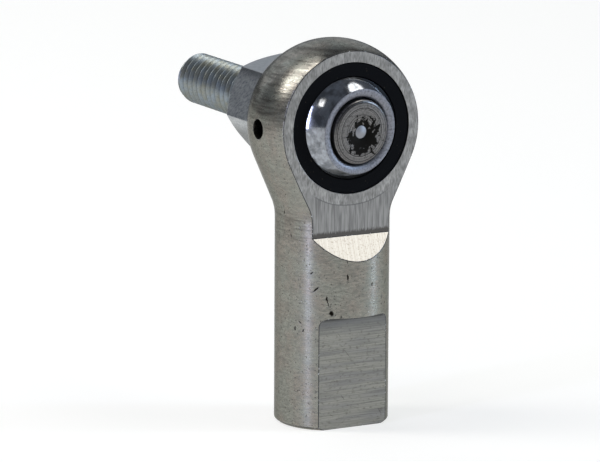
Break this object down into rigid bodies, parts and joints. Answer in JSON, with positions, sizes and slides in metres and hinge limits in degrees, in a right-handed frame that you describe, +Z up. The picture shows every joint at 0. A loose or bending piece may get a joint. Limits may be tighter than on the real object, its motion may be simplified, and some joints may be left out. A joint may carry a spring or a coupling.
{
  "type": "rod end bearing",
  "caption": "Female rod end with a moulded nylon race, a plated ball and a threaded hexagon stud that swings and spins in it.",
  "frame": {"origin": "middle of the shank's end face, on the shank's axis", "axes": "+Z up the shank to the head, the head's front face looks along -Y, the stud leaves along +Y, the gate hole is on -X"},
  "size_m": [0.0259, 0.046, 0.059],
  "materials": {
    "turned_steel": "turned and milled bare steel",
    "nylon": "black moulded nylon, satin",
    "plated_ball": "hard chrome plate, polished",
    "zinc_plated_stud": "zinc plated steel"
  },
  "bodies": {
    "housing": {"housing": "turned_steel", "race": "nylon"},
    "ball": {"ball": "plated_ball"},
    "stud": {"stud": "zinc_plated_stud"}
  },
  "joints": [
    {"name": "ball_swing", "type": "hinge", "parent": "housing", "child": "ball", "pos_m": [0, 0, 0.046], "axis": [0, 0, 1], "range_deg": [-21.5, 8.5]},
    {"name": "stud_spin", "type": "hinge", "parent": "ball", "child": "stud", "pos_m": [0, 0, 0.046], "axis": [-0.113, 0.9917, 0.061], "continuous": true}
  ]
}
